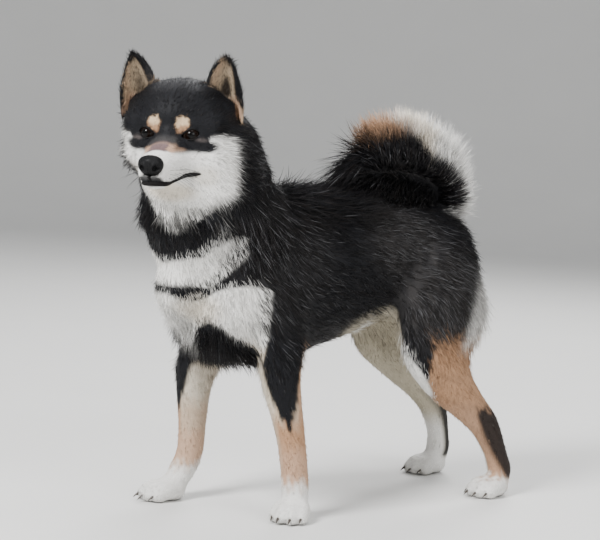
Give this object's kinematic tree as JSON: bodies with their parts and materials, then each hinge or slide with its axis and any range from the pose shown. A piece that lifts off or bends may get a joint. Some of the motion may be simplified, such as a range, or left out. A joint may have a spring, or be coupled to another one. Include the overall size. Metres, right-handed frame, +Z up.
{
  "type": "shiba inu",
  "caption": "Life-size still model of a standing black and tan spitz-type dog with pricked ears, its head turned to its left and its tail curled over its back.",
  "frame": {"origin": "centre of the bounding box in plan, on the floor under the paws", "axes": "+Z up, -Y the way the dog faces, +X its left side"},
  "size_m": [0.2372, 0.6326, 0.5651],
  "materials": {
    "black_coat": "soft black fur",
    "cream_coat": "cream fur",
    "tan_coat": "red-tan fur",
    "nose_leather": "damp black skin",
    "eye": "wet dark brown"
  },
  "bodies": {
    "root": {"head": "black_coat", "nose": "nose_leather", "ear_left": "black_coat", "ear_right": "black_coat", "eye_left": "eye", "eye_right": "eye", "neck": "black_coat", "torso": "black_coat", "tail_root": "black_coat", "tail_middle": "black_coat", "tail_tip": "black_coat", "fore_leg_left": "tan_coat", "fore_leg_right": "tan_coat", "fore_paw_left": "cream_coat", "fore_paw_right": "cream_coat", "thigh_left": "black_coat", "thigh_right": "black_coat", "hind_shank_left": "tan_coat", "hind_shank_right": "tan_coat", "hind_foot_left": "cream_coat", "hind_foot_right": "cream_coat"}
  },
  "joints": []
}
